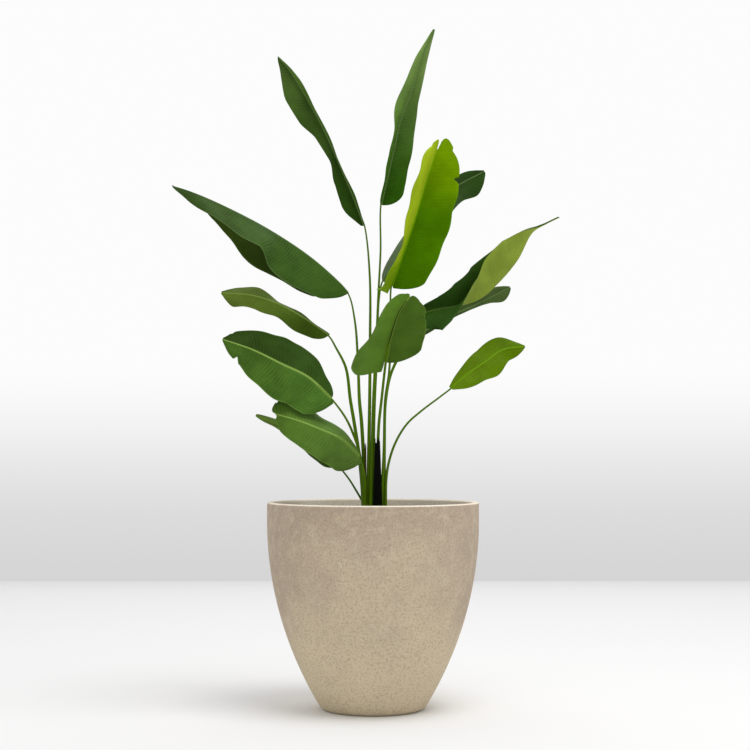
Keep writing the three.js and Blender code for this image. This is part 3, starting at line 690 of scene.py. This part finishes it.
fibres.links.new(blend_colours(fibres, far, tone, given["Far colour"]), wanted["Colour"])
fibres.links.new(spread(fibres, patch, 0.3, 0.7, 0.38, 0.56), wanted["Roughness"])
fibres.links.new(product(fibres, streak, given["Depth"]), wanted["Height"])


def fibre_material(name, colour, streak, count, share, depth, specular, **far):
    """A skin with long fine streaks, which may change its colour between two distances from the foot."""
    material, tree, shader = new_material(name, specular=specular)
    skin = use_group(
        tree, fibres, Colour=colour, Streak=streak, Count=count, Share=share, Depth=depth, **far)
    tree.links.new(skin["Colour"], shader["Base Color"])
    tree.links.new(skin["Roughness"], shader["Roughness"])
    raise_surface(tree, skin["Height"], shader["Normal"])
    return material


def grow_leaf(name, look, above, below, stem, **leaf):
    """Makes a leaf's blade and stalk, and hides the solids they stand for.

    The stalk and the rib are points in mm, thick is the stalk's radius on its way up, and turn rolls the
    blade. Its left and right half each have widths, a fold, a curl and a sag from the base to the tip,
    in mm and degrees. Wave, tears, notch, lobe, round and blunt shape the margin and both ends.
    """
    leaf = {
        "curl": [[0, 0], [0, 0]], "sag": [[0, 0], [0, 0]], "wave": [3, 3], "tears": [],
        "notch": [0, 0], "lobe": [0, 0], "round": [BASE_ROUND, BASE_ROUND], "blunt": 0.05, **leaf,
    }
    length = rib_frames(leaf["rib"], leaf["turn"], np.array([0.0]))[4]
    title = name.replace("_", " ")
    upper = leaf_material(title + " above", length, **above)
    under = leaf_material(title + " below", length, **below)
    blade = make_blade(name, leaf, upper, under)
    stalk = make_stalk(name, leaf, stem)
    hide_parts(name + "_blade")
    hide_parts(name + "_stalk")
    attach(blade, "root")
    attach(stalk, "root")


stem_green = fibre_material(
    "Green stem", paint(80, 118, 2), paint(116, 150, 26), count=9, share=0.5, depth=0.12 * MM,
    specular=0.07)
grow_leaf(
    "leaf_high_left", "leaf_dark",
    above=dict(
        base=paint(60, 102, 20), tip=paint(98, 132, 54), rib=paint(104, 130, 70),
        darker_half=-0.45, crease_shading=0.2),
    below=dict(base=paint(50, 76, 30), tip=paint(70, 96, 46), rib=paint(100, 126, 62), crease_shading=0.15),
    stem=stem_green,
    stalk=[[-12, -4, 433], [-12, -4, 490], [-10, -4, 607], [-8, -3, 725], [-7, 3, 868], [-8, 10, 1024]],
    thick=[4.6, 4, 1.9],
    rib=[
        [-22, 20, 1144], [-47, 28, 1212], [-88, 42, 1310], [-124, 54, 1390],
        [-165, 70, 1468], [-207, 86, 1537], [-233, 99, 1570],
    ],
    turn=[-46, -44, -40, -36, -36],
    left=[10, 30, 29, 15, 24, 44, 44, 30, 3],
    right=[12, 16, 16, 12, 12, 16, 18, 12, 2],
    fold=[[46, 44, 40, 36, 34], [46, 48, 46, 42, 40]],
    curl=[[0, 0], [-10, -10]],
    blunt=0.03,
)


# The top leaf: the highest and youngest of the narrow ones, closed like a boat below.
# Its blade opens towards its tip, and the stalk carries it straight up.

grow_leaf(
    "leaf_top", "leaf_green",
    above=dict(
        base=paint(66, 118, 16), tip=paint(134, 166, 88), rib=paint(110, 138, 78),
        darker_half=0.2, crease_shading=0.18),
    below=dict(base=paint(60, 90, 36), tip=paint(90, 114, 62), rib=paint(108, 134, 72), crease_shading=0.15),
    stem=stem_green,
    stalk=[
        [-5, -11, 433], [-5, -11, 490], [-2, -9, 607], [1, -7, 725],
        [7, -5, 844], [13, -4, 980], [18, -3, 1082],
    ],
    thick=[4.8, 3.3, 2],
    rib=[
        [20, 0, 1190], [34, -10, 1250], [51, -22, 1324], [66, -32, 1388],
        [94, -46, 1460], [115, -62, 1530], [144, -80, 1592],
    ],
    turn=[44, 44, 38, 0, -10, -12],
    left=[40, 42, 42, 40, 34, 27, 18, 10, 2],
    right=[42, 44, 40, 38, 36, 28, 24, 17, 2],
    fold=[[44, 44, 44, 44, 44], [44, 44, 44, 44, 44]],
    curl=[[-8, -8], [-8, -8]],
    blunt=0.03,
)


# The bright leaf: a young broad blade in full light, yellow-green and held up in front of the others.
# A tear splits it near its tip, and a corner hangs down at its base.

grow_leaf(
    "leaf_bright", "leaf_bright",
    above=dict(
        base=paint(98, 156, 0), tip=paint(154, 202, 2), rib=paint(116, 168, 4), change_from=0.5,
        darker_half=0.36, lit_half=paint(174, 199, 36), crease_shading=0.06, gloss=0.01),
    below=dict(
        base=paint(90, 136, 8), tip=paint(110, 156, 14), rib=paint(126, 166, 30), crease_shading=0.1, gloss=0.02),
    stem=stem_green,
    stalk=[[20, -7, 433], [21, -8, 490], [26, -9, 607], [29, -15, 725], [38, -25, 790], [42, -42, 888]],
    thick=[4.2, 3.2, 2.1],
    rib=[[44, -60, 990], [72, -75, 1068], [99, -90, 1147], [124, -105, 1230], [149, -120, 1302]],
    turn=[38, 38, 36],
    left=[75, 56, 43, 68, 84, 86, 88, 84, 66],
    right=[64, 72, 76, 80, 80, 77, 75, 68, 60],
    fold=[[20, 44, 42, 38, 40, 34], [38, 38, 36, 36, 36]],
    sag=[[72, 0, 0, 0, 0, 0, 0, 0, 0], [0, 0]],
    wave=[3, 4],
    tears=[["right", 0.83, 0.18, 0.022]],
    blunt=0.15,
    round=[0.03, 0.08],
    notch=[22, 30],
    lobe=[20, 4],
)


# The leaf behind the bright one: dark, with a painted grey sky reflection towards its base, where it faces
# the sky.
# It leans out to the right behind the bright blade, so that only its two ends are seen.

grow_leaf(
    "leaf_behind_bright", "leaf_dark",
    # The grey base colour of its upper side is a painted reflection of the sky.
    above=dict(base=paint(128, 148, 112), tip=paint(48, 78, 24), rib=paint(104, 126, 76), crease_shading=0.2),
    below=dict(base=paint(60, 86, 38), tip=paint(66, 92, 44), rib=paint(104, 126, 70), crease_shading=0.15),
    stem=stem_green,
    stalk=[[2, 9, 433], [2, 10, 490], [1, 15, 607], [4, 21, 726], [10, 27, 846], [14, 33, 966]],
    thick=[4.4, 3.3, 2],
    rib=[[24, 40, 1012], [79, 60, 1089], [134, 80, 1168], [194, 90, 1242], [272, 100, 1288]],
    turn=[30, 20, 10],
    left=[26, 32, 32, 30, 28, 26, 24, 20, 3],
    right=[26, 34, 36, 36, 34, 34, 36, 44, 10],
    fold=[[30, 25, 20], [20, 15, 10]],
)


# The large right leaf: its near half hangs at the base, then folds up and over, and shows its paler
# yellow-green underside. The far half stands behind it, dark, and the midrib runs on into a long thin tip.

grow_leaf(
    "leaf_right_large", "leaf_dark",
    above=dict(base=paint(50, 84, 24), tip=paint(62, 94, 30), rib=paint(76, 104, 46), crease_shading=0.16),
    below=dict(
        base=paint(132, 153, 52), tip=paint(142, 163, 58), rib=paint(150, 166, 76),
        crease_shading=0.12, relief=0.03 * MM),
    stem=stem_green,
    stalk=[
        [27, 2, 433], [27, 2, 490], [27, 2, 607], [30, 3, 725],
        [40, 1, 780], [60, -6, 829], [78, -14, 867],
    ],
    thick=[4.3, 3.3, 2.2],
    rib=[
        [99, -20, 916], [122, -17, 931], [158, -13, 941], [196, -9, 948], [254, 0, 968],
        [300, 10, 1008], [345, 22, 1062], [383, 36, 1130], [418, 46, 1152], [449, 54, 1168],
    ],
    turn=[-10, -10, -10, -14, -20, -20],
    left=[8, 24, 56, 72, 68, 58, 32, 3, 1],
    right=[90, 84, 64, 70, 84, 74, 46, 5, 1],
    fold=[[30, 30, 30, 30, 30], [30, 60, 118, 126, 124, 100, 60]],
    blunt=0.02,
    lobe=[0, 8],
)


# The leaf behind the large right one: dark, with only its blunt wavy end in view.
# Its own stalk bends out to the right below it.

grow_leaf(
    "leaf_right_behind", "leaf_dark",
    above=dict(base=paint(60, 86, 36), tip=paint(84, 106, 55), rib=paint(106, 128, 76), crease_shading=0.2),
    below=dict(base=paint(64, 86, 40), tip=paint(76, 98, 52), rib=paint(104, 126, 70), crease_shading=0.15),
    stem=stem_green,
    stalk=[[20, 13, 433], [21, 14, 490], [26, 18, 607], [31, 24, 726], [46, 28, 795], [78, 34, 850]],
    thick=[4, 3, 2],
    rib=[[114, 42, 885], [150, 52, 908], [200, 66, 936], [262, 86, 965], [334, 104, 1004]],
    turn=[0, 0],
    left=[20, 26, 28, 28, 26, 24, 22, 16, 2],
    right=[6, 6, 5, 4, 4, 5, 10, 22, 6],
    fold=[[30, 30], [10, 10]],
    wave=[4, 3],
)


# The folded left leaf: the longest, hung over its midrib like a tent, its underside painted dark for the
# shade inside.
# A crease shows where its near half lifts, and its stalk is the stoutest of all.

grow_leaf(
    "leaf_left_folded", "leaf_green",
    above=dict(base=paint(68, 100, 36), tip=paint(60, 86, 34), rib=paint(100, 126, 74), crease_shading=0.28),
    # Painted shade: the underside's dark colour stands for the shade inside the tent.
    below=dict(base=paint(36, 56, 4), tip=paint(62, 84, 14), rib=paint(90, 112, 40), crease_shading=0.16),
    stem=stem_green,
    stalk=[
        [-16, 11, 433], [-17, 10, 490], [-22, 8, 588], [-27, 5, 673],
        [-32, 3, 725], [-35, 0, 800], [-43, -3, 913],
    ],
    thick=[5, 4.4, 1.9],
    rib=[
        [-58, -6, 980], [-78, -14, 1002], [-148, -34, 1062], [-248, -60, 1126],
        [-356, -80, 1180], [-425, -92, 1208], [-466, -100, 1220],
    ],
    turn=[72, 76, 80],
    left=[50, 77, 91, 95, 92, 76, 50, 28, 2],
    right=[70, 93, 103, 108, 98, 74, 44, 14, 2],
    fold=[[-50, -45, -42, -38, -14, -20, -31, -50, -50], [-68, -70, -72, -72, -50]],
    curl=[[-10, -10], [0, 0]],
    wave=[2, 3],
    blunt=0.02,
)


# The drooping leaf: hung down in front of the stalks towards the viewer, so that its underside shows,
# with the raised midrib along it and one half sagging at the base like a lobe.

stem_shaded = fibre_material(
    "Shaded stem", paint(80, 118, 2), paint(116, 150, 26), count=9, share=0.5, depth=0.12 * MM,
    specular=0.07, Far_colour=paint(46, 70, 8), Far_from=0.44, Far_to=0.52)
grow_leaf(
    "leaf_drooping", "leaf_green",
    above=dict(base=paint(64, 96, 28), tip=paint(74, 104, 36), rib=paint(104, 132, 62), crease_shading=0.2),
    below=dict(
        base=paint(94, 132, 42), tip=paint(97, 137, 42), rib=paint(122, 150, 58),
        darker_half=-0.36, crease_shading=0.06),
    stem=stem_shaded,
    stalk=[[9, -2, 433], [9, -3, 490], [11, -8, 600], [14, -17, 670], [20, -28, 724], [25, -38, 771]],
    thick=[4.2, 3.5, 3],
    rib=[[30, -48, 813], [36, -90, 850], [47, -140, 889], [61, -185, 923], [83, -224, 951]],
    turn=[180, 180],
    left=[60, 74, 74, 74, 72, 68, 61, 54, 42],
    right=[70, 87, 80, 52, 42, 40, 36, 30, 20],
    fold=[[0, 10, 10, 10], [-20, -20]],
    curl=[[0, 0], [-20, -20]],
    sag=[[0, 0], [36, 14, 18, 6, 0, 0, 0, 0, 0]],
    round=[0.2, 0.14],
    lobe=[2, 34],
    notch=[8, 5],
)


# The narrow left leaf: an arching strip of a blade on a stalk that bows out to the left.
# It is seen from its upper side, with its tip bent down.

grow_leaf(
    "leaf_left_narrow", "leaf_green",
    above=dict(
        base=paint(76, 104, 24), tip=paint(100, 122, 44), rib=paint(116, 140, 60),
        darker_half=0.25, crease_shading=0.16),
    below=dict(base=paint(74, 98, 32), tip=paint(88, 110, 44), rib=paint(116, 140, 66), crease_shading=0.15),
    stem=stem_green,
    stalk=[
        [-24, 3, 433], [-24, 3, 490], [-33, 6, 595], [-45, 14, 673],
        [-54, 21, 726], [-65, 30, 803], [-88, 37, 850],
    ],
    thick=[4.4, 4.1, 2],
    rib=[[-106, 42, 882], [-164, 60, 923], [-227, 80, 960], [-298, 100, 984], [-372, 119, 991]],
    turn=[55, 55, 45],
    left=[24, 34, 36, 34, 32, 32, 32, 30, 3],
    right=[8, 9, 10, 11, 15, 25, 37, 28, 3],
    fold=[[-40, -40], [-15, -15, -15, 0, -15]],
    blunt=0.04,
)


# The broad left leaf: oval and open to the viewer, with a pale midrib and strong cross veins.
# Both its margins are torn a little near the tip.

grow_leaf(
    "leaf_left_broad", "leaf_green",
    above=dict(
        base=paint(83, 123, 45), tip=paint(74, 107, 37), rib=paint(136, 166, 80),
        darker_half=0.53, crease_shading=0.26, gloss=0.02),
    below=dict(base=paint(78, 104, 48), tip=paint(84, 110, 54), rib=paint(120, 146, 76), crease_shading=0.15),
    stem=stem_green,
    stalk=[[-24, -6, 433], [-24, -6, 490], [-31, -10, 595], [-48, -20, 648], [-66, -32, 685]],
    thick=[4, 3.2, 2.2],
    rib=[[-97, -50, 728], [-149, -70, 776], [-214, -90, 808], [-279, -110, 839], [-345, -130, 861]],
    turn=[25, 25],
    left=[64, 75, 78, 80, 75, 65, 52, 34, 5],
    right=[20, 34, 58, 74, 74, 67, 55, 40, 6],
    fold=[[-15, -15], [-15, -15]],
    tears=[["left", 0.85, 0.3, 0.025], ["right", 0.93, 0.12, 0.02]],
    wave=[3, 4],
    blunt=0.08,
    lobe=[12, 0],
)


# The low left leaf: an oval blade just over the rim, on the shortest stalk of those in view.
# Its midrib is arched and pale, and its lower half hangs.

grow_leaf(
    "leaf_low_left", "leaf_green",
    above=dict(
        base=paint(96, 130, 54), tip=paint(88, 122, 44), rib=paint(136, 166, 80), crease_shading=0.2, gloss=0.02),
    below=dict(base=paint(80, 108, 50), tip=paint(86, 114, 56), rib=paint(120, 146, 76), crease_shading=0.15),
    stem=stem_green,
    stalk=[[-20, -17, 433], [-20, -18, 490], [-20, -30, 540]],
    thick=[4.8, 4, 2.6],
    rib=[[-31, -46, 591], [-72, -56, 632], [-125, -70, 657], [-178, -80, 677], [-226, -88, 690]],
    turn=[42, 42],
    left=[58, 65, 68, 67, 62, 56, 50, 38, 22],
    right=[10, 30, 50, 60, 64, 62, 58, 56, 60],
    fold=[[-32, -32], [-30, -30, -24, -10, 6]],
    wave=[1.5, 3],
    blunt=0.1,
    lobe=[14, 0],
    notch=[-4, 10],
)


# The hidden left leaf: a narrow blade that leans out low behind the others.
# Its short stalk starts behind the crown, and only its long point shows.

grow_leaf(
    "leaf_hidden_left", "leaf_dark",
    above=dict(base=paint(70, 98, 30), tip=paint(104, 134, 52), rib=paint(118, 144, 62), crease_shading=0.1),
    below=dict(base=paint(66, 92, 36), tip=paint(84, 110, 46), rib=paint(108, 132, 66), crease_shading=0.15),
    stem=stem_green,
    stalk=[[0, 20, 433], [-8, 20, 455], [-21, 19, 478], [-38, 18, 507], [-58, 16, 539]],
    thick=[3.4, 2.6, 2],
    rib=[[-83, 16, 571], [-126, 30, 610], [-176, 50, 640], [-229, 70, 667], [-284, 90, 691]],
    turn=[30, 30],
    left=[20, 26, 26, 22, 18, 12, 8, 5, 1],
    right=[26, 34, 34, 32, 28, 24, 18, 11, 1],
    fold=[[-20, -20], [-20, -20]],
    wave=[2, 3],
    blunt=0.02,
)


# The low right leaf: small, young and bright, with a smoother skin than the older leaves.
# A thin stalk arches out to the right and carries it over the rim.

grow_leaf(
    "leaf_right_low", "leaf_bright",
    above=dict(
        base=paint(102, 134, 16), tip=paint(91, 123, 2), rib=paint(110, 152, 16),
        crease_shading=0.16, relief=0.03 * MM, gloss=0.03),
    below=dict(base=paint(90, 120, 28), tip=paint(98, 128, 34), rib=paint(118, 148, 48), crease_shading=0.14),
    stem=stem_green,
    stalk=[
        [30, -8, 433], [30, -8, 490], [31, -8, 534], [37, -8, 576],
        [53, -9, 624], [80, -10, 668], [113, -11, 698], [158, -12, 732],
    ],
    thick=[3.6, 2.8, 2],
    rib=[[184, -10, 753], [224, 10, 787], [269, 30, 818], [313, 50, 848], [367, 70, 857]],
    turn=[-25, -25],
    left=[4, 14, 24, 32, 38, 42, 38, 24, 3],
    right=[8, 24, 34, 38, 42, 36, 28, 22, 3],
    fold=[[-12, -12], [-12, -12]],
)


# The old sheaths: what is left of two shed leaves at the foot of the stalks, stiff and fibrous, the wide
# one dried dark and painted near black for the deep shade among the stalks, and the slim one brown. Each is
# a curved strip with a ragged top, which stands in the soil and clasps the stalks.

SHEATH_THICKNESS = 1.12 * MM
SHEATH_FOOT = 413 * MM
SHEATH_CREASE = 0.5 * MM
SHEATH_CREASES = 3
TEETH = 9
TEETH_HEIGHT = 13 * MM
SHEATH_ROWS = 60
SHEATH_COLUMNS = 26

# The wide sheath's near-black is partly painted shade, for the deep shade among the stalks' feet.
dry_and_shaded = fibre_material(
    "Dry sheath in shade", paint(3, 4, 2), paint(26, 28, 16), count=26, share=0.4, depth=0.6 * MM, specular=0.06)
dry_brown = fibre_material(
    "Brown sheath", paint(70, 66, 28), paint(100, 92, 44), count=26, share=0.4, depth=0.6 * MM,
    specular=0.06)


def dry_sheath(name, node, skin, centre, radius, arc_angles, top, lean, narrow):
    """One dried strip round a centre, narrower and leaning a little towards its torn top."""
    start, end = arc_angles
    rise = np.linspace(0, 1, SHEATH_ROWS)[:, None]
    spot = np.linspace(0, 1, SHEATH_COLUMNS)[None, :]
    height = np.maximum((SHEATH_FOOT + rise * (top - SHEATH_FOOT) - SOIL_TOP) / (top - SOIL_TOP), 0)
    spread_angle = (end - start) / 2 * (1 - (1 - narrow) * height)
    angle = np.radians((start + end) / 2 + spread_angle * (2 * spot - 1))
    teeth = np.array([noise.noise(Vector((x * TEETH, top * 20, 0))) for x in spot[0]])[None, :]
    crease = SHEATH_CREASE * np.sin(spot * 2 * np.pi * SHEATH_CREASES) * (0.4 + 0.6 * height)
    ring = radius + crease
    points = np.stack([
        centre[0] + ring * np.cos(angle) + lean * height,
        centre[1] + ring * np.sin(angle),
        SHEATH_FOOT + rise * (top - SHEATH_FOOT) + rise ** 6 * TEETH_HEIGHT * teeth,
    ], -1)
    across, along = np.broadcast_arrays(spot, rise * (top - SHEATH_FOOT))
    sheath = lay_sheet(name, points, across, along)
    sheath.data.materials.append(skin)
    thicken(sheath, SHEATH_THICKNESS)
    smooth(sheath, 60)
    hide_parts(node)
    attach(sheath, "root")


# The wide one also spans shaded gaps between the stalks, so part of its black is painted shade.
dry_sheath(
    "sheath_wide", "old_sheath_large", dry_and_shaded, centre=(10 * MM, -4 * MM), radius=15.5 * MM,
    arc_angles=(228, 326), top=630 * MM, lean=-1 * MM, narrow=0.45)
dry_sheath(
    "sheath_slim", "old_sheath_small", dry_brown, centre=(-17.7 * MM, -3.4 * MM), radius=7.5 * MM,
    arc_angles=(250, 290), top=616 * MM, lean=0, narrow=0.6)


# The studio: a plain pale floor that the lamps light, painted a little lighter far behind, and a plain wall
# a few metres behind.
# The wall is white above and greyer towards the floor, a painted shade, and glows evenly as painted light,
# so that no shadow falls on it.

STUDIO_SIZE = 16
WALL_DISTANCE = 3.55


def studio_material(name, colour, lit):
    """Plain matt paint, seen from one side only, that the lamps light or that glows evenly by itself."""
    material, tree, shader = new_material(name, specular=0, roughness=1)
    tree.links.new(colour(tree), shader["Base Color" if lit else "Emission Color"])
    if not lit:
        shader["Base Color"].default_value = (0, 0, 0, 1)
        shader["Emission Strength"].default_value = 1
    sides = tree.nodes.new("ShaderNodeMixShader")
    tree.links.new(put(tree, "NewGeometry").node.outputs["Backfacing"], sides.inputs[0])
    tree.links.new(tree.nodes["Principled BSDF"].outputs[0], sides.inputs[1])
    tree.links.new(put(tree, "BsdfTransparent"), sides.inputs[2])
    tree.links.new(sides.outputs[0], tree.nodes["Material Output"].inputs[0])
    return material


def wall_colour(tree):
    """Grey just over the floor and white higher up, as painted shade."""
    place = put(tree, "TexCoord").node.outputs["Object"]
    up = put(tree, "SeparateXYZ", place).node.outputs["Z"]
    low = blend_colours(tree, spread(tree, up, -0.1, 0.5), paint(212, 212, 212), paint(222, 222, 222))
    return blend_colours(tree, spread(tree, up, 0.25, 1.0), low, paint(252, 252, 252))


def floor_colour(tree):
    """Pale grey, painted a little lighter far behind, where less lamp light falls."""
    place = put(tree, "TexCoord").node.outputs["Object"]
    deep = put(tree, "SeparateXYZ", place).node.outputs["Y"]
    return blend_colours(tree, spread(tree, deep, 0.6, 3.2), paint(243, 243, 243), paint(246, 246, 246))


def studio_sheet(name, material):
    """A large level sheet with its paint."""
    bpy.ops.object.select_all(action="DESELECT")
    bpy.ops.mesh.primitive_grid_add(x_subdivisions=6, y_subdivisions=6, size=STUDIO_SIZE)
    sheet = bpy.context.object
    sheet.name = name
    sheet.data.materials.append(material)
    return sheet


floor = studio_sheet("studio_floor", studio_material("Pale floor", floor_colour, lit=True))
wall = studio_sheet("studio_wall", studio_material("Pale wall", wall_colour, lit=False))
for vertex in wall.data.vertices:
    vertex.co = (vertex.co.x, WALL_DISTANCE, vertex.co.y + STUDIO_SIZE / 2)


# The light and the camera: a large soft lamp high on the right in front, an even fill from all round,
# and a long lens a little above the pot's rim, which looks slightly up.

KEY_PLACE = (0.95, -1.2, 4.9)
KEY_AIM = (0, 0, 0.6)
KEY_SIZE = 2.8
KEY_WATTS = 112
FILL = 0.6
CAMERA_PLACE = (0.0047, -3.842, 0.621)
CAMERA_AIM = (0.0047, 0, 0.7845)
LENS = 77.8
FILM_WIDTH = 36
FARTHEST_SEEN = 60


def aim(thing, target):
    """Turns a lamp or the camera towards a point."""
    thing.rotation_euler = (Vector(target) - thing.location).to_track_quat("-Z", "Y").to_euler()


world = bpy.data.worlds.new("Studio")
world.use_nodes = True
background = world.node_tree.nodes["Background"].inputs
background["Color"].default_value = (1, 1, 1, 1)
background["Strength"].default_value = FILL
bpy.context.scene.world = world

bpy.ops.object.light_add(type="AREA", location=KEY_PLACE)
key = bpy.context.object
key.data.shape = "DISK"
key.data.size = KEY_SIZE
key.data.energy = KEY_WATTS
aim(key, KEY_AIM)

bpy.ops.object.camera_add(location=CAMERA_PLACE)
camera = bpy.context.object
camera.data.lens = LENS
camera.data.sensor_width = FILM_WIDTH
camera.data.clip_end = FARTHEST_SEEN
aim(camera, CAMERA_AIM)
bpy.context.scene.camera = camera
bpy.context.scene.view_settings.view_transform = "Standard"
